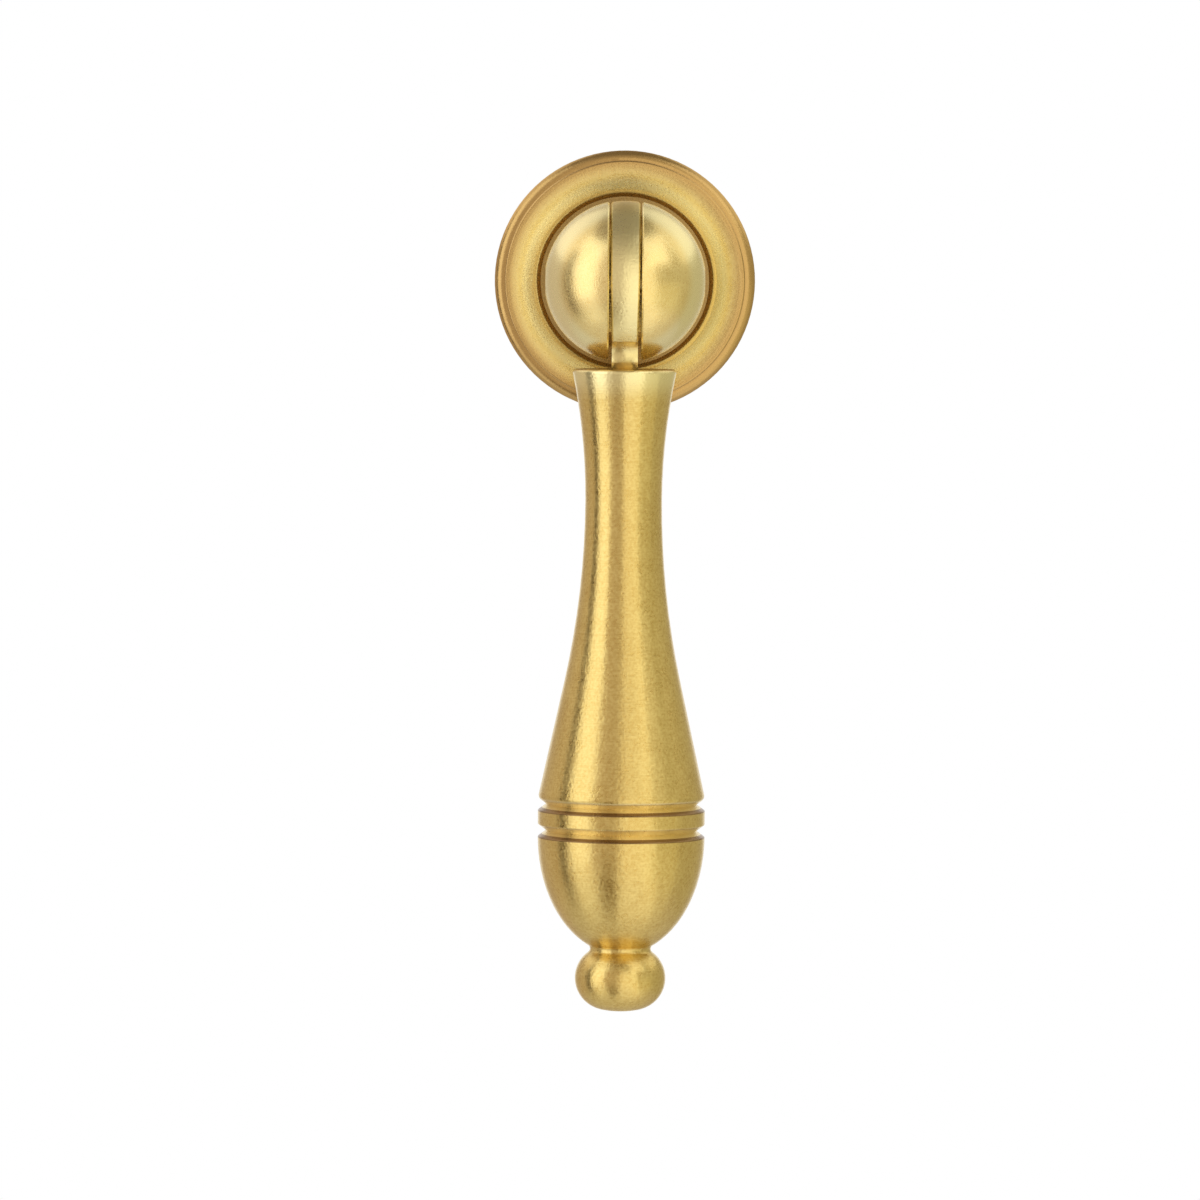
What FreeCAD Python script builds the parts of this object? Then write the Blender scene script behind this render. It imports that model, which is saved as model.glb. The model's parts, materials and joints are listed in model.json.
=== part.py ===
import FreeCAD, Part
import enum
import math
import operator
import os
import Sketcher

# Drop pull for a drawer: a round rosette, a slotted ball on a foot, a cross pin and a turned drop.
# Millimetres. The origin is the centre of the rosette's back face, the room lies towards -Y, +Z is up.

SIZES = {
    # rosette, outwards from the ball's recess and forwards from the back face
    "seat_thickness": 0.8,
    "recess_depth": 1.05,
    "recess_draft": 0.3,
    "lip_round": 0.45,
    "face_width": 1.9,
    "face_rise": 0.35,
    "face_curve": 6.0,
    "crest_width": 0.4,
    "crest_round": 0.15,
    "step_height": 1.1,
    "flange_width": 0.75,
    "flange_rise": 0.5,
    "flange_curve": 0.75,
    "back_break": 0.15,
    # ball post
    "ball_diameter": 11.6,
    "pivot_standoff": 10.0,
    "foot_inset": 0.9,
    "foot_height": 0.3,
    "foot_clearance": 1.25,
    "neck_diameter": 7.4,
    "shank_diameter": 6.6,
    "shank_clearance": 0.1,
    "shank_setback": 0.1,
    "thread_diameter": 4.0,
    "thread_web": 0.4,
    "mouth_break": 0.25,
    # hinge
    "pin_diameter": 2.0,
    "pin_clearance": 0.04,
    "pin_setback": 0.06,
    "tongue_thickness": 2.1,
    "tongue_setback": 0.05,
    "cheek_clearance": 0.12,
    "slot_floor_gap": 0.3,
    "edge_break": 0.12,
    # drop, from the ball downwards
    "ball_gap": 0.5,
    "tongue_neck_height": 2.0,
    "tongue_neck_depth": 5.2,
    "tongue_neck_relief": 0.12,
    "head_land": 0.45,
    "head_flare": 1.03,
    "head_round": 0.25,
    "waist_diameter": 5.5,
    "flare_length": 9.4,
    "taper_length": 21.4,
    "cone_length": 8.4,
    "body_diameter": 12.0,
    "shoulder_round": 0.4,
    "groove_width": 0.9,
    "groove_depth": 0.6,
    "rib_width": 1.0,
    "rib_round": 0.12,
    "bowl_length": 8.08,
    "finial_neck_diameter": 3.7,
    "finial_neck_round": 0.3,
    "finial_diameter": 6.52,
    "finial_side_curve": 2.3,
    "finial_crown_curve": 7.0,
}

OPERATIONS = {"+": operator.add, "-": operator.sub, "*": operator.mul, "/": operator.truediv}
SAME = 1e-4  # mm, edges nearer than this to a wanted place are the wanted ones
IN_LINE = 0.9  # least share of a direction's length for it to count as along an axis


class Axis(enum.IntEnum):
    """A sketch's own axes, as its elements are numbered."""

    LEVEL = -1
    UPRIGHT = -2


class Spot(enum.IntEnum):
    """The points of a sketch element."""

    START = 1
    END = 2
    CENTRE = 3


class Side(enum.IntEnum):
    """The side to which an arc bows, seen along the way it is drawn."""

    LEFT = 1
    RIGHT = -1


ORIGIN = (Axis.LEVEL, Spot.START)

doc = FreeCAD.newDocument("drop_pull")
sheet = doc.addObject("Spreadsheet::Sheet", "Sizes")
for row, (alias, number) in enumerate(SIZES.items(), start=1):
    sheet.set(f"A{row}", str(number))
    sheet.setAlias(f"A{row}", alias)
doc.recompute()


class Size:
    """A length with its present value and the sheet formula that it follows."""

    def __init__(self, value, formula):
        self.value = value
        self.formula = formula

    def joined(self, sign, other):
        other = other if isinstance(other, Size) else Size(other, str(other))
        value = OPERATIONS[sign](self.value, other.value)
        return Size(value, f"({self.formula} {sign} {other.formula})")

    def __add__(self, other):
        return self.joined("+", other)

    def __sub__(self, other):
        return self.joined("-", other)

    def __mul__(self, other):
        return self.joined("*", other)

    def __truediv__(self, other):
        return self.joined("/", other)

    def __neg__(self):
        return self * -1


def size(alias):
    return Size(float(sheet.get(alias)), f"Sizes.{alias}")


def point(across, along, guess=(0, 0)):
    """Where a corner is first drawn: its own distances, or the guess for one left free as None."""
    pair = [free if given is None else given for given, free in zip((across, along), guess)]
    numbers = [entry.value if isinstance(entry, Size) else entry for entry in pair]
    return FreeCAD.Vector(numbers[0], numbers[1], 0)


def gap(one, other):
    return (one - other).Length


class Outline:
    """A closed outline on one of a body's own origin planes, drawn corner by corner, tied to the sheet."""

    def __init__(self, body, name, plane_role):
        self.sketch = body.newObject("Sketcher::SketchObject", name)
        plane = next(f for f in body.Origin.OriginFeatures if f.Role == plane_role)
        self.sketch.AttachmentSupport = [(plane, "")]
        self.sketch.MapMode = "FlatFace"
        self.first = None
        self.last = None

    def constrain(self, *terms):
        return self.sketch.addConstraint(Sketcher.Constraint(*terms))

    def tie(self, kind, elements, length):
        index = self.constrain(kind, *elements, length.value)
        self.sketch.setExpression(f"Constraints[{index}]", length.formula)

    def fix(self, where, across, along):
        """Hold a point at its distances from the axes; 0 puts it on the axis, None leaves it free."""
        for kind, distance, axis in (("DistanceX", across, Axis.UPRIGHT), ("DistanceY", along, Axis.LEVEL)):
            if isinstance(distance, Size):
                self.tie(kind, (*ORIGIN, *where), distance)
            elif distance == 0:
                self.constrain("PointOnObject", *where, axis)

    def begin(self, across, along, guess=(0, 0)):
        self.opening = (across, along)
        self.mouth = self.here = point(across, along, guess)

    def add(self, shape, target, smooth=False):
        """Join a new line or curve to the last corner and move on to its far end."""
        element = self.sketch.addGeometry(shape, False)
        near, far = sorted(
            (Spot.START, Spot.END), key=lambda spot: gap(self.sketch.getPoint(element, spot), self.here)
        )
        if self.last is None:
            self.first = (element, near)
            self.fix(self.first, *self.opening)
        else:
            self.constrain("Tangent" if smooth else "Coincident", *self.last, element, near)
        self.last = (element, far)
        self.here = target
        return element

    def line(self, across, along, guess=(0, 0), smooth=False):
        target = point(across, along, guess)
        self.add(Part.LineSegment(self.here, target), target, smooth)
        self.fix(self.last, across, along)

    def bow(self, across, along, radius, side):
        """An arc of a given radius to the next corner."""
        target = point(across, along)
        chord = target - self.here
        sag = radius.value - math.sqrt(radius.value**2 - chord.Length**2 / 4)
        middle = (self.here + target) * 0.5 + FreeCAD.Vector(-chord.y, chord.x, 0).normalize() * (sag * side)
        element = self.add(Part.Arc(self.here, middle, target), target)
        self.fix(self.last, across, along)
        self.tie("Radius", (element,), radius)

    def arc(self, across, along, centre, guess=(0, 0), centre_guess=(0, 0), smooth=False):
        """An arc of less than half a turn about a centre, to the next corner."""
        target = point(across, along, guess)
        hub = point(*centre, centre_guess)
        radius = gap(self.here, hub)
        middle = hub + ((self.here - hub) + (target - hub)).normalize() * radius
        element = self.add(Part.Arc(self.here, middle, target), target, smooth)
        self.fix((element, Spot.CENTRE), *centre)
        self.fix(self.last, across, along)
        return element

    def quarter_ellipse(self, across, along, centre):
        """An ellipse arc from its widest point towards its pole on the upright axis, cut at the corner."""
        hub, target = point(*centre), point(across, along)
        width, run = self.here.x, target.y - hub.y
        pole = run / math.sqrt(1 - (target.x / width) ** 2)
        whole = Part.Ellipse(hub + FreeCAD.Vector(0, pole, 0), self.here, hub)
        element = self.add(Part.ArcOfEllipse(whole, math.acos(run / pole), math.pi / 2), target)
        self.sketch.exposeInternalGeometry(element)
        self.constrain("Vertical", element + 1)
        self.fix((element, Spot.CENTRE), *centre)
        self.fix(self.last, across, along)

    def upright_guide(self, across, lower, upper):
        """A construction line that an arc can be made to touch."""
        guide = self.sketch.addGeometry(Part.LineSegment(point(across, lower), point(across, upper)), True)
        self.constrain("Vertical", guide)
        self.fix((guide, Spot.START), across, lower)
        self.fix((guide, Spot.END), None, upper)
        return guide

    def close(self):
        if gap(self.here, self.mouth) > SAME:
            self.add(Part.LineSegment(self.here, self.mouth), self.mouth)
        self.constrain("Coincident", *self.last, *self.first)
        self.last = None

    def circle(self, across, along, diameter):
        shape = Part.Circle(point(across, along), FreeCAD.Vector(0, 0, 1), diameter.value / 2)
        element = self.sketch.addGeometry(shape, False)
        self.fix((element, Spot.CENTRE), across, along)
        self.tie("Diameter", (element,), diameter)


def level_arc_centre(near, far, run):
    """Centre distance of an arc that starts upright at near and has moved out to far after the run."""
    out = far - near
    return near + (run**2 + out**2) / (2 * out)


def new_body(label):
    body = doc.addObject("PartDesign::Body", label)
    body.Label = label
    return body


def revolve(body, outline, axis):
    feature = body.newObject("PartDesign::Revolution", f"{outline.sketch.Name}_turned")
    feature.Profile = outline.sketch
    feature.ReferenceAxis = (outline.sketch, [axis])
    doc.recompute()
    return feature


def cut_through(body, outline):
    """Cut the outline right through the body, to both sides of its sketch."""
    before = body.Shape.Volume
    feature = body.newObject("PartDesign::Pocket", f"{outline.sketch.Name}_cut")
    feature.Profile = outline.sketch
    feature.SideType = "Symmetric"
    feature.Type = "ThroughAll"
    doc.recompute()
    if body.Shape.Volume >= before:
        raise RuntimeError(f"{feature.Name} cuts nothing")
    return feature


def edge_names(feature, wanted):
    """Names of the feature's round edges that pass a test on their circle."""
    names = []
    for number, edge in enumerate(feature.Shape.Edges, start=1):
        if not edge.Degenerated and isinstance(edge.Curve, Part.Circle) and wanted(edge.Curve):
            names.append(f"Edge{number}")
    return names


def rings(feature, *places):
    """The edges about the turning axis at the given radii and heights."""
    def wanted(circle):
        centre = circle.Center
        return any(
            abs(circle.Radius - radius.value) < SAME and gap(centre, FreeCAD.Vector(0, 0, height.value)) < SAME
            for radius, height in places
        )
    return edge_names(feature, wanted)


def soften(body, kind, edges, amount):
    """Round (Fillet) or bevel (Chamfer) edges of the body's last feature by one size."""
    feature = body.newObject(f"PartDesign::{kind}", f"{body.Name}_{kind.lower()}")
    feature.Base = (feature.BaseFeature, edges)
    feature.setExpression("Radius" if kind == "Fillet" else "Size", amount.formula)
    doc.recompute()


def face_room(body):
    """Swing a body drawn about +Z so that its axis points from the drawer to the room."""
    body.Placement.Rotation = FreeCAD.Rotation(FreeCAD.Vector(1, 0, 0), 90)


# Sizes that more than one piece takes
pivot = size("pivot_standoff")
seat = size("seat_thickness")
ball_radius = size("ball_diameter") / 2
foot_radius = ball_radius - size("foot_inset")
shank_radius = size("shank_diameter") / 2
pin_radius = size("pin_diameter") / 2
tongue_radius = ball_radius - size("tongue_setback")
tongue_half = size("tongue_thickness") / 2


def make_base_plate():
    """The rosette, turned in one piece: flange, step, rounded face, recess and the hole for the shank."""
    body = new_body("base_plate")
    hole = shank_radius + size("shank_clearance")
    floor_edge = foot_radius + size("foot_clearance")
    lip = floor_edge + size("recess_draft")
    crest_inner = lip + size("face_width")
    crest_outer = crest_inner + size("crest_width")
    rim = crest_outer + size("flange_width")
    lip_height = seat + size("recess_depth")
    crest_height = lip_height + size("face_rise")
    flange_height = crest_height - size("step_height")
    edge_height = flange_height - size("flange_rise")

    section = Outline(body, "rosette_section", "XZ_Plane")
    section.begin(hole, 0)
    section.line(rim - size("back_break"), 0)
    section.line(rim, size("back_break"))
    section.line(rim, edge_height)
    section.bow(crest_outer, flange_height, size("flange_curve"), Side.RIGHT)
    section.line(crest_outer, crest_height)
    section.line(crest_inner, crest_height)
    section.bow(lip, lip_height, size("face_curve"), Side.RIGHT)
    section.line(floor_edge, seat)
    section.line(hole, seat)
    section.close()
    turned = revolve(body, section, "V_Axis")

    crest_edges = rings(turned, (crest_outer, crest_height), (crest_inner, crest_height))
    soften(body, "Fillet", crest_edges, size("crest_round"))
    soften(body, "Fillet", rings(body.Tip, (lip, lip_height)), size("lip_round"))
    face_room(body)
    return body


def make_ball_post():
    """Ball, trumpet foot and shank in one turning, slotted for the tongue and tapped from the back."""
    body = new_body("ball_post")
    neck = size("neck_diameter") / 2
    foot_top = seat + size("foot_height")
    slot_half = tongue_half + size("cheek_clearance")
    slot_floor = pivot - tongue_radius - size("slot_floor_gap")
    back = size("shank_setback")
    thread = size("thread_diameter") / 2
    thread_end = slot_floor - size("thread_web")
    neck_top = pivot.value - math.sqrt(ball_radius.value**2 - neck.value**2)
    trumpet_centre = level_arc_centre(neck.value, foot_radius.value, neck_top - foot_top.value)

    section = Outline(body, "post_section", "XZ_Plane")
    section.begin(0, thread_end)
    section.line(thread, thread_end)
    section.line(thread, back + size("mouth_break"))
    section.line(thread + size("mouth_break"), back)
    section.line(shank_radius, back)
    section.line(shank_radius, seat)
    section.line(foot_radius, seat)
    section.line(foot_radius, foot_top)
    trumpet = section.arc(
        neck, None, (None, None), guess=(0, neck_top), centre_guess=(trumpet_centre, neck_top)
    )
    section.constrain("Horizontal", trumpet, Spot.CENTRE, *section.last)
    ball_top = pivot.value + ball_radius.value
    ball = section.arc(0, None, (0, pivot), guess=(0, ball_top))
    section.tie("Radius", (ball,), ball_radius)
    section.close()
    revolve(body, section, "V_Axis")

    slot = Outline(body, "slot", "XZ_Plane")
    mouth = pivot + ball_radius * 2
    slot.begin(-slot_half, slot_floor)
    slot.line(slot_half, slot_floor)
    slot.line(slot_half, mouth)
    slot.line(-slot_half, mouth)
    slot.close()
    slotted = cut_through(body, slot)
    lips = edge_names(slotted, lambda circle: abs(abs(circle.Center.x) - slot_half.value) < SAME)
    soften(body, "Chamfer", lips, size("edge_break"))

    pin_hole = Outline(body, "post_pin_hole", "YZ_Plane")
    pin_hole.circle(0, pivot, pin_radius * 2)
    cut_through(body, pin_hole)
    face_room(body)
    return body


def make_hinge_pin():
    """A plain cross pin whose ends are dressed to the ball's own curve."""
    body = new_body("hinge_pin")
    reach = ball_radius - size("pin_setback")
    corner = math.sqrt(reach.value**2 - pin_radius.value**2)

    section = Outline(body, "pin_section", "XY_Plane")
    section.begin(-reach, 0)
    section.line(reach, 0)
    section.arc(None, pin_radius, (0, 0), guess=(corner, 0))
    section.line(None, pin_radius, guess=(-corner, 0))
    section.arc(None, None, (0, 0), guess=(-reach.value, 0))
    section.close()
    revolve(body, section, "H_Axis")
    body.setExpression("Placement.Base.y", (-pivot).formula)
    return body


def make_drop_handle():
    """The drop, turned in one piece about its length, its head milled flat to a tongue for the slot.

    It is drawn from the pivot with its length along +Z and then turned over to hang.
    """
    body = new_body("drop_handle")
    waist = size("waist_diameter") / 2
    head = waist + size("head_flare")
    bulge = size("body_diameter") / 2
    valley = bulge - size("groove_depth")
    groove_half = size("groove_width") / 2
    head_top = ball_radius + size("ball_gap")
    disc_end = head_top - size("tongue_neck_height")
    waist_level = head_top + size("flare_length")
    shoulder = waist_level + size("taper_length")
    cone_top = shoulder - size("cone_length")
    rib_top = shoulder + groove_half * 2
    rib_end = rib_top + size("rib_width")
    bowl_top = rib_end + groove_half * 2
    bowl_end = bowl_top + size("bowl_length")
    finial_neck = size("finial_neck_diameter") / 2
    side_curve = size("finial_side_curve")
    side_across = size("finial_diameter") / 2 - side_curve
    crown_curve = size("finial_crown_curve")

    # first guesses for what the tangencies settle
    disc_edge = math.sqrt(tongue_radius.value**2 - disc_end.value**2)
    neck_depth = size("tongue_neck_depth") / 2
    neck_centre = (neck_depth.value + size("tongue_neck_height").value / 2, (disc_end + head_top).value / 2)
    flare_centre = level_arc_centre(waist.value, head.value, size("flare_length").value)
    arc_run = (cone_top - waist_level).value
    taper_curve = arc_run * (arc_run / 2 + size("cone_length").value) / (bulge - waist).value
    cone_across = waist.value + arc_run**2 / (2 * taper_curve)
    side_along = bowl_end.value + math.sqrt(side_curve.value**2 - (finial_neck - side_across).value ** 2)
    side_centre = point(side_across, side_along)
    inset = (crown_curve - side_curve).value
    crown_centre = side_centre - point(side_across, math.sqrt(inset**2 - side_across.value**2))
    meeting = crown_centre + (side_centre - crown_centre) * (crown_curve.value / inset)

    section = Outline(body, "drop_section", "XZ_Plane")
    section.begin(0, None, guess=(0, -tongue_radius.value))
    disc = section.arc(None, disc_end, (0, 0), guess=(disc_edge, 0))
    section.tie("Radius", (disc,), tongue_radius)
    cove = section.arc(head - size("head_land"), head_top, (None, None), centre_guess=neck_centre)
    section.constrain("Tangent", cove, section.upright_guide(neck_depth, disc_end, head_top))
    section.line(head, head_top)
    section.arc(waist, waist_level, (None, waist_level), centre_guess=(flare_centre, 0))
    section.arc(
        None, cone_top, (None, waist_level), guess=(cone_across, 0), centre_guess=(waist.value + taper_curve, 0)
    )
    section.line(bulge, shoulder, smooth=True)
    section.line(valley, shoulder + groove_half)
    section.line(bulge, rib_top)
    section.line(bulge, rib_end)
    section.line(valley, rib_end + groove_half)
    section.line(bulge, bowl_top)
    section.quarter_ellipse(finial_neck, bowl_end, (0, bowl_top))
    side = section.arc(
        None, None, (side_across, None), guess=(meeting.x, meeting.y), centre_guess=(0, side_along)
    )
    section.tie("Radius", (side,), side_curve)
    end = crown_centre.y + crown_curve.value
    crown = section.arc(0, None, (0, None), guess=(0, end), centre_guess=(0, crown_centre.y), smooth=True)
    section.tie("Radius", (crown,), crown_curve)
    section.close()
    revolve(body, section, "V_Axis")

    for amount, places in (
        ("head_round", [(head, head_top)]),
        ("shoulder_round", [(bulge, shoulder)]),
        ("rib_round", [(bulge, rib_top), (bulge, rib_end), (bulge, bowl_top)]),
        ("finial_neck_round", [(finial_neck, bowl_end)]),
    ):
        soften(body, "Fillet", rings(body.Tip, *places), size(amount))

    neck_half = tongue_half - size("tongue_neck_relief")
    beyond = ball_radius * 2
    cheeks = Outline(body, "cheeks", "XZ_Plane")
    for side in (1, -1):
        cheeks.begin(tongue_half * side, -beyond)
        cheeks.line(tongue_half * side, 0)
        cheeks.line(neck_half * side, disc_end)
        cheeks.line(neck_half * side, head_top)
        cheeks.line(beyond * side, head_top)
        cheeks.line(beyond * side, -beyond)
        cheeks.close()
    milled = cut_through(body, cheeks)
    disc_rims = edge_names(milled, lambda circle: abs(circle.Axis.x) > IN_LINE)
    soften(body, "Chamfer", disc_rims, size("edge_break"))

    pin_hole = Outline(body, "tongue_pin_hole", "YZ_Plane")
    pin_hole.circle(0, 0, (pin_radius + size("pin_clearance")) * 2)
    cut_through(body, pin_hole)
    body.Placement.Rotation = FreeCAD.Rotation(FreeCAD.Vector(1, 0, 0), 180)
    body.setExpression("Placement.Base.y", (-pivot).formula)
    return body


pieces = [make_base_plate(), make_ball_post(), make_hinge_pin(), make_drop_handle()]
doc.recompute()

for item in doc.Objects:
    if "Invalid" in item.State or "Error" in item.State:
        raise RuntimeError(f"{item.Label} did not compute: {item.State}")
for piece in pieces:
    if piece.Shape.isNull() or not piece.Shape.isValid():
        raise RuntimeError(f"{piece.Label} has no valid shape")

os.makedirs("parts", exist_ok=True)
for piece in pieces:
    piece.Shape.exportStep(f"parts/{piece.Label}.step")
    box = piece.Shape.optimalBoundingBox()
    print(f"{piece.Label}: {len(piece.Shape.Solids)} solid, {piece.Shape.Volume:.2f} mm3, {box}")
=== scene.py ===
import json
import math

import bmesh
import bpy
from mathutils import Matrix, Vector


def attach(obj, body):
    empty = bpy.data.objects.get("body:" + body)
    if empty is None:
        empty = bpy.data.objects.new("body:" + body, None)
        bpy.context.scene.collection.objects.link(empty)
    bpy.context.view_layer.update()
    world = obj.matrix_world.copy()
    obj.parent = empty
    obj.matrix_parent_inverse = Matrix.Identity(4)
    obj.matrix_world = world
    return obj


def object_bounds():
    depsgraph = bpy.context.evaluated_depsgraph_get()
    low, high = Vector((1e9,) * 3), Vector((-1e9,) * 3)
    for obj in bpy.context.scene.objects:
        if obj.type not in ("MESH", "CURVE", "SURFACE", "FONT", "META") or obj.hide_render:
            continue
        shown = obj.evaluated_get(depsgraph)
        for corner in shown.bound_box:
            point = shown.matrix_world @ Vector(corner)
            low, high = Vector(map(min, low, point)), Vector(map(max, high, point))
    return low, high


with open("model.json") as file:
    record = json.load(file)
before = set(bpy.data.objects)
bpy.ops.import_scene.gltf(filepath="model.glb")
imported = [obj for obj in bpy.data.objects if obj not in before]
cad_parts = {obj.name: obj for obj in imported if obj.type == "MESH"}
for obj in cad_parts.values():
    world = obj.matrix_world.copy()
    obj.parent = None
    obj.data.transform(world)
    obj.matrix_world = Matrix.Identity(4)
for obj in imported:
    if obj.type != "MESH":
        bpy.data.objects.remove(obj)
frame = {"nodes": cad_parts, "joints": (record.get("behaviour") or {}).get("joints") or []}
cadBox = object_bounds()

mm = 0.001
scene = bpy.context.scene
scene.view_settings.view_transform = "Standard"
pivot = Vector(frame["joints"][0]["pos_m"])
print("frame loaded:", ", ".join(frame["nodes"]))


class Wire:
    # a socket in a node tree; maths on wires adds Math nodes, node() adds any other kind
    def __init__(self, tree, socket=None):
        self.tree = tree
        self.socket = socket

    def node(self, kind, settings, sockets, out=0):
        made = self.tree.nodes.new("ShaderNode" + kind)
        for name, value in settings.items():
            setattr(made, name, value)
        for name, value in sockets.items():
            if isinstance(value, Wire):
                self.tree.links.new(value.socket, made.inputs[name])
            else:
                made.inputs[name].default_value = value
        return Wire(self.tree, made.outputs[out] if made.outputs else None)

    def maths(self, operation, *terms):
        return self.node("Math", {"operation": operation}, dict(enumerate(terms)))

    def __add__(self, other):
        return self.maths("ADD", self, other)

    def __radd__(self, other):
        return self.maths("ADD", other, self)

    def __sub__(self, other):
        return self.maths("SUBTRACT", self, other)

    def __rsub__(self, other):
        return self.maths("SUBTRACT", other, self)

    def __mul__(self, other):
        return self.maths("MULTIPLY", self, other)

    def __rmul__(self, other):
        return self.maths("MULTIPLY", other, self)

    def __truediv__(self, other):
        return self.maths("DIVIDE", self, other)

    def __rtruediv__(self, other):
        return self.maths("DIVIDE", other, self)

    def __pow__(self, other):
        return self.maths("POWER", self, other)

    def __rpow__(self, other):
        return self.maths("POWER", other, self)

    def __abs__(self):
        return self.maths("ABSOLUTE", self)

    def orMore(self, other):
        return self.maths("MAXIMUM", self, other)

    def ramp(self, start, end, low=0.0, high=1.0):
        # low before start, high after end, smooth between
        return self.node("MapRange", {"interpolation_type": "SMOOTHSTEP"}, {
            "Value": self, "From Min": start, "From Max": end, "To Min": low, "To Max": high,
        })

    def blend(self, low, high):
        # one colour to the other as this wire goes from 0 to 1
        return self.node("Mix", {"data_type": "RGBA"}, {0: self, 6: rgba(low), 7: rgba(high)}, out=2)


def rgba(colour):
    return colour if isinstance(colour, Wire) else (*colour, 1)


def newTree(holder):
    holder.use_nodes = True
    holder.node_tree.nodes.clear()
    return Wire(holder.node_tree)


def addMesh(name, mesh, material):
    data = bpy.data.meshes.new(name)
    mesh.to_mesh(data)
    mesh.free()
    data.materials.append(material)
    made = bpy.data.objects.new(name, data)
    scene.collection.objects.link(made)
    return made


# what the brass pieces share; rings and levels are given piece by piece
satinBrass = {
    "centre": (0, 0, 0),
    "turn": (0, 0, 0),  # how the turning axis lies, unturned along Z
    "light": (0.95, 0.79, 0.38),
    "dark": (0.82, 0.64, 0.28),
    "rings": [],  # painted light and shade by radius: where it starts, where it is full, colour
    "levels": [],  # painted light and shade by height: its middle, how far it is full, where it ends, colour
    "backClear": (0.3 * mm, 0.6 * mm),  # rings stay off the back up to here
    "toneSpread": (0.3, 0.7),  # how much grain gives the dark tone, and how much the light
    "roughness": 0.28,
    "grainRough": 0.12,
    "mottleRough": 0.08,
    "brushed": 0.0,
    "brushedTurn": 0.25,  # a quarter turn, so that the brushed rings blur a reflection along the piece
    "grainSize": 0.16 * mm,
    "lineWidth": 0.06 * mm,
    "lineLength": 0.9 * mm,
    "mottleSize": 1.6 * mm,
    "bumpDepth": 0.010 * mm,
}


def turnedFinish(name, look):
    # satin metal with sandy grain and fine rings about the axis that it was turned on
    material = bpy.data.materials.new(name)
    tree = newTree(material)
    place = tree.node("TexCoord", {}, {}, out="Object")
    local = tree.node("Mapping", {"vector_type": "TEXTURE"}, {
        "Vector": place, "Location": look["centre"], "Rotation": look["turn"],
    })
    across, deep, along = [tree.node("SeparateXYZ", {}, {"Vector": local}, out=axis) for axis in "XYZ"]
    ring = (across * across + deep * deep) ** 0.5
    streak = tree.node("CombineXYZ", {}, {
        "X": ring / look["lineWidth"],
        "Y": along / look["lineWidth"],
        "Z": (across + deep) / look["lineLength"],
    })
    lines = tree.node("TexNoise", {}, {"Vector": streak, "Scale": 1.0, "Detail": 1.0})
    grain = tree.node("TexNoise", {}, {"Vector": local, "Scale": 1 / look["grainSize"], "Detail": 1.0})
    mottle = tree.node("TexNoise", {}, {"Vector": local, "Scale": 1 / look["mottleSize"], "Detail": 3.0})
    shade = 0.5 * grain + 0.25 * lines + 0.25 * mottle
    colour = shade.ramp(*look["toneSpread"]).blend(look["dark"], look["light"])
    # rings and levels paint highlights, reflections and shade into the colour
    for start, full, tone in look["rings"]:
        colour = (ring.ramp(start, full) * along.ramp(*look["backClear"])).blend(colour, tone)
    for middle, full, gone, tone in look["levels"]:
        colour = abs(along - middle).ramp(gone, full).blend(colour, tone)
    rough = look["roughness"] + (grain - 0.5) * look["grainRough"] + (mottle - 0.5) * look["mottleRough"]
    bump = tree.node("Bump", {}, {
        "Height": 0.6 * grain + 0.4 * lines,
        "Strength": 1.0,
        "Distance": look["bumpDepth"],
    })
    shader = tree.node("BsdfPrincipled", {}, {
        "Base Color": colour,
        "Roughness": rough,
        "Metallic": 1.0,
        "Anisotropic": look["brushed"],
        "Anisotropic Rotation": look["brushedTurn"],
        "Normal": bump,
    })
    tree.node("OutputMaterial", {}, {"Surface": shader})
    return material


def dress(node, material):
    for spot in frame["nodes"][node].material_slots:
        spot.material = material


rosette = {
    **satinBrass,
    "turn": (math.radians(90), 0, 0),
    "rings": [
        (7.7 * mm, 7.1 * mm, (1.0, 0.92, 0.64)),  # painted highlight on the lip
        (6.85 * mm, 6.1 * mm, (0.40, 0.27, 0.12)),  # painted shade in the recess round the ball
        (7.6 * mm, 8.7 * mm, (0.61, 0.40, 0.16)),  # painted shade, darker and warmer towards the rim
    ],
}
dress("base_plate", turnedFinish("rosetteBrass", rosette))

ballPost = {
    **satinBrass,
    "turn": (math.radians(90), 0, 0),
    "light": (1.0, 0.82, 0.40),
    "dark": (0.90, 0.69, 0.30),
    "rings": [(4.3 * mm, 5.0 * mm, (1.0, 0.89, 0.52))],  # painted reflection, paler towards the ball's edge
}
postFinish = turnedFinish("postBrass", ballPost)
dress("ball_post", postFinish)

hingePin = {**satinBrass, "centre": (0, pivot.y, 0), "turn": (0, math.radians(90), 0)}
dress("hinge_pin", turnedFinish("pinBrass", hingePin))

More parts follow.
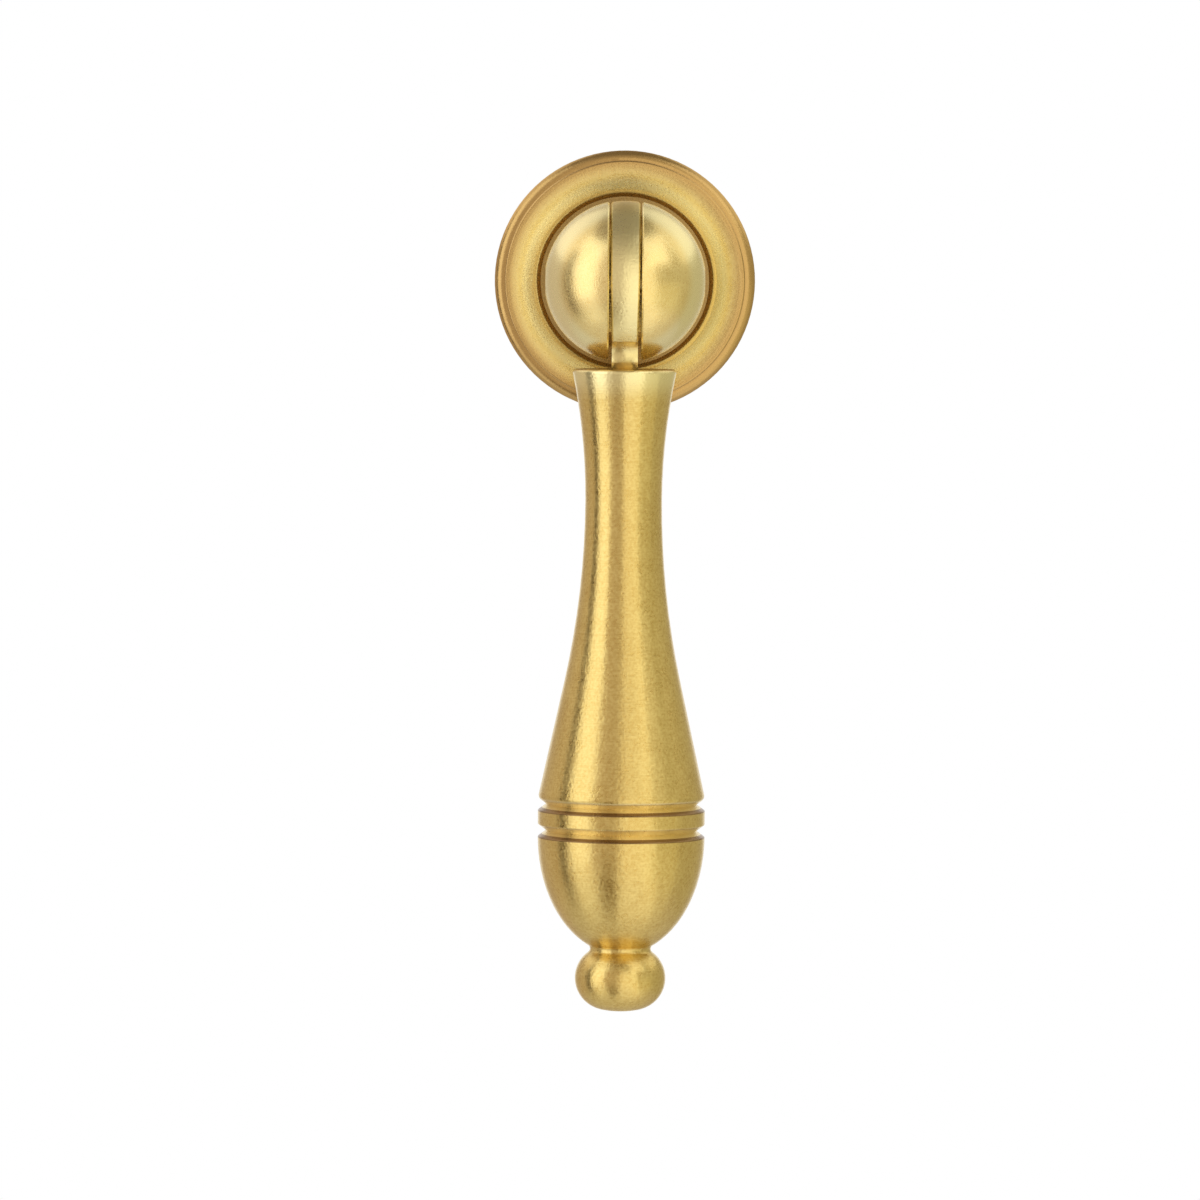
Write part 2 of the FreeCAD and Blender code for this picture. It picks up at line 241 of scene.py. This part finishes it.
# painted highlight: a paler brass on the tongue and the head's edge
paintedHighlight = (1.0, 0.88, 0.49)
grooves = [-37.5 * mm, -39.4 * mm]
drop = {
    **satinBrass,
    "centre": (0, pivot.y, 0),
    "light": (0.88, 0.69, 0.28),
    "dark": (0.70, 0.50, 0.17),
    "levels": [
        (0, 4.3 * mm, 6.0 * mm, paintedHighlight),  # painted highlight on the tongue
        (-6.6 * mm, 0.1 * mm, 2.2 * mm, paintedHighlight),  # painted highlight along the edge of the head
        (-6.1 * mm, 0.22 * mm, 0.42 * mm, (0.60, 0.42, 0.17)),  # painted shade at the root of the tongue
        # painted sheen, paler inside each groove
        *[(groove, 0.32 * mm, 0.45 * mm, (0.90, 0.74, 0.40)) for groove in grooves],
        # painted shade, a brown line under each groove
        *[(groove - 0.43 * mm, 0.11 * mm, 0.16 * mm, (0.30, 0.18, 0.08)) for groove in grooves],
    ],
    "roughness": 0.30,
    "brushed": 0.65,
    "grainSize": 0.20 * mm,
    "bumpDepth": 0.024 * mm,
}
dress("drop_handle", turnedFinish("dropBrass", drop))
print("finishes on", len(frame["nodes"]), "pieces")

thread = {
    "outer": 2.0 * mm,
    "inner": 1.65 * mm,
    "pitch": 0.7 * mm,
    "crest": 0.1 * mm,
    "start": 0.75 * mm,  # middle of the first turn, in from the back face
    "turns": 3.4,
    "stepsPerTurn": 40,
}


def makeThread(look):
    # the screw thread's ridge, one section turned up the bore along its helix
    mesh = bmesh.new()
    half = look["pitch"] / 2
    corners = [
        (look["outer"], -half),
        (look["inner"], -look["crest"] / 2),
        (look["inner"], look["crest"] / 2),
        (look["outer"], half),
    ]
    points = [mesh.verts.new((radius, -look["start"] - shift, 0)) for radius, shift in corners]
    section = mesh.faces.new(points)
    bmesh.ops.spin(
        mesh, geom=[section, *section.edges, *points], cent=(0, 0, 0), axis=(0, 1, 0),
        dvec=(0, -look["pitch"] / look["stepsPerTurn"], 0), angle=look["turns"] * 2 * math.pi,
        steps=round(look["turns"] * look["stepsPerTurn"]),
    )
    bmesh.ops.recalc_face_normals(mesh, faces=mesh.faces)
    ridge = addMesh("screwThread", mesh, postFinish)
    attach(ridge, "fixed")
    print("screw thread:", len(ridge.data.polygons), "faces")


makeThread(thread)


def lightPath(tree, kind):
    return tree.node("LightPath", {}, {}, out=f"Is {kind} Ray")


def mirrorRays(tree):
    return lightPath(tree, "Glossy").orMore(lightPath(tree, "Transmission"))


floorLook = {
    "below": 340 * mm,
    "radius": 600 * mm,
    "forward": 60 * mm,
    "colour": (0.95, 0.95, 0.94),
    "lift": 0.7,  # how far it is white paper to the camera
    "mirrorLift": 0.2,  # and in the metal
}


def makeFloor(look):
    mesh = bmesh.new()
    bmesh.ops.create_circle(mesh, cap_ends=True, segments=96, radius=look["radius"])
    bmesh.ops.translate(mesh, verts=mesh.verts, vec=(0, -look["forward"], cadBox[0].z - look["below"]))
    material = bpy.data.materials.new("paleFloor")
    tree = newTree(material)
    paper = tree.node("BsdfDiffuse", {}, {"Color": rgba(look["colour"])})
    glow = tree.node("Emission", {}, {"Color": rgba(look["colour"]), "Strength": 1.0})
    seen = lightPath(tree, "Camera") * look["lift"] + mirrorRays(tree) * look["mirrorLift"]
    shader = tree.node("MixShader", {}, {0: seen, 1: paper, 2: glow})
    tree.node("OutputMaterial", {}, {"Surface": shader})
    addMesh("floor", mesh, material)


makeFloor(floorLook)

roomLook = {
    "leftWall": (1.0, 0.85, 0.68),
    "rightWall": (1.0, 0.92, 0.62),
    "middle": 0.55,
    "leftToRight": -0.04,
    "frontToBack": -0.05,
    "wallFade": (-0.5, 0.9),  # from the one wall's colour to the other's
    "ceiling": 0.45,
    "ceilingFade": (0.5, 0.98),
    "backdrop": (1, 1, 1),
    "backdropReach": 24,  # degrees each side of straight behind
    "backdropSoft": 0.03,
}


def makeRoom(look):
    # warm dim walls, darker overhead, with a white sheet behind the part
    world = bpy.data.worlds.new("room")
    scene.world = world
    tree = newTree(world)
    way = tree.node("TexCoord", {}, {}, out="Generated")
    right, back, up = [tree.node("SeparateXYZ", {}, {"Vector": way}, out=axis) for axis in "XYZ"]
    tone = look["middle"] + look["leftToRight"] * right + look["frontToBack"] * back
    tone = tone * up.ramp(*look["ceilingFade"], 1.0, look["ceiling"])
    reach = math.cos(math.radians(look["backdropReach"]))
    sheet = back.ramp(reach - look["backdropSoft"], reach + look["backdropSoft"])
    seen = (mirrorRays(tree) * sheet).orMore(lightPath(tree, "Camera"))
    walls = right.ramp(*look["wallFade"]).blend(look["leftWall"], look["rightWall"])
    colour = seen.blend(tone.blend((0, 0, 0), walls), look["backdrop"])
    shader = tree.node("Background", {}, {"Color": colour, "Strength": 1.0})
    tree.node("OutputWorld", {}, {"Surface": shader})


makeRoom(roomLook)
print("floor and room set")

# lamps and cards by the way to them in degrees, round from the front and up, and the angle that they fill
softboxes = {
    "leftBox": {"azimuth": -60, "height": 18, "spread": (38, 76), "glow": 0.88, "tint": (0.92, 1.0, 0.98)},
    "leftRim": {"azimuth": -122, "height": 42, "spread": (56, 44), "glow": 0.5, "tint": (1.0, 0.98, 0.88)},
    "rightRim": {"azimuth": 122, "height": 42, "spread": (56, 44), "glow": 0.5, "tint": (1.0, 0.98, 0.88)},
    "rightBox": {"azimuth": 54, "height": 43, "spread": (34, 38), "glow": 0.8, "tint": (1.0, 1.0, 0.95)},
    "frontCard": {"azimuth": 22, "height": -2, "spread": (46, 64), "glow": 0.56, "tint": (1.0, 0.98, 0.85)},
    "rightCard": {"azimuth": 64, "height": -24, "spread": (44, 48), "glow": 0.2, "tint": (1.0, 0.96, 0.60)},
    "lowLeft": {"azimuth": -57, "height": -36, "spread": (30, 32), "glow": 0.38, "tint": (0.96, 1.0, 0.92)},
    "lowCard": {"azimuth": 24, "height": -54, "spread": (60, 40), "glow": 0.34, "tint": (1.0, 0.98, 0.85)},
}
flags = {
    "leftFlag": {"azimuth": -90, "height": 0, "spread": (11, 67), "colour": (0.02, 0.015, 0.01)},
    "lowFlag": {"azimuth": -20, "height": -41, "spread": (18, 34), "colour": (0.34, 0.27, 0.17)},
}
litPoint = Vector((0, pivot.y, -22 * mm))
boxAway = 380 * mm


def wayTo(look):
    turn, rise = math.radians(look["azimuth"]), math.radians(look["height"])
    return Vector((math.sin(turn) * math.cos(rise), -math.cos(turn) * math.cos(rise), math.sin(rise)))


def cardSize(look):
    return [2 * boxAway * math.tan(math.radians(angle) / 2) for angle in look["spread"]]


def makeSoftbox(name, look):
    lamp = bpy.data.lights.new(name, "AREA")
    lamp.shape = "RECTANGLE"
    lamp.size, lamp.size_y = cardSize(look)
    lamp.energy = math.pi * lamp.size * lamp.size_y * look["glow"]  # glow 1 looks as bright as white paper
    lamp.color = look["tint"]
    box = bpy.data.objects.new(name, lamp)
    scene.collection.objects.link(box)
    way = wayTo(look)
    box.location = litPoint + way * boxAway
    box.rotation_euler = way.to_track_quat("Z", "Y").to_euler()
    box.visible_camera = False


def makeFlag(name, look):
    # a dark card that draws a dark line or patch on the metal
    mesh = bmesh.new()
    bmesh.ops.create_grid(mesh, x_segments=1, y_segments=1, size=0.5)
    bmesh.ops.scale(mesh, verts=mesh.verts, vec=(*cardSize(look), 1))
    way = wayTo(look)
    bmesh.ops.transform(mesh, verts=mesh.verts, matrix=way.to_track_quat("Z", "Y").to_matrix().to_4x4())
    bmesh.ops.translate(mesh, verts=mesh.verts, vec=litPoint + way * boxAway)
    material = bpy.data.materials.new(name)
    tree = newTree(material)
    shader = tree.node("BsdfDiffuse", {}, {"Color": rgba(look["colour"])})
    tree.node("OutputMaterial", {}, {"Surface": shader})
    flag = addMesh(name, mesh, material)
    flag.visible_camera = False


for name, look in softboxes.items():
    makeSoftbox(name, look)
for name, look in flags.items():
    makeFlag(name, look)
print("lit by", len(softboxes), "softboxes, with", len(flags), "dark cards")

shot = {
    "away": 500 * mm,
    "height": 1 * mm,
    "aim": (-1.645 * mm, pivot.y, -22.89 * mm),
    "frameWidth": 86.17 * mm,
    "roll": 0.42,
}


def makeCamera(look):
    lens = bpy.data.cameras.new("photoCamera")
    camera = bpy.data.objects.new("photoCamera", lens)
    scene.collection.objects.link(camera)
    target = Vector(look["aim"])
    camera.location = (target.x, target.y - look["away"], look["height"])
    way = camera.location - target
    level = way.to_track_quat("Z", "Y").to_matrix()
    camera.rotation_euler = (level @ Matrix.Rotation(math.radians(look["roll"]), 3, "Z")).to_euler()
    lens.sensor_width = 36
    lens.lens = lens.sensor_width * way.length / look["frameWidth"]
    lens.clip_start = 1 * mm
    scene.camera = camera
    print("camera", round(way.length / mm), "mm away")


makeCamera(shot)
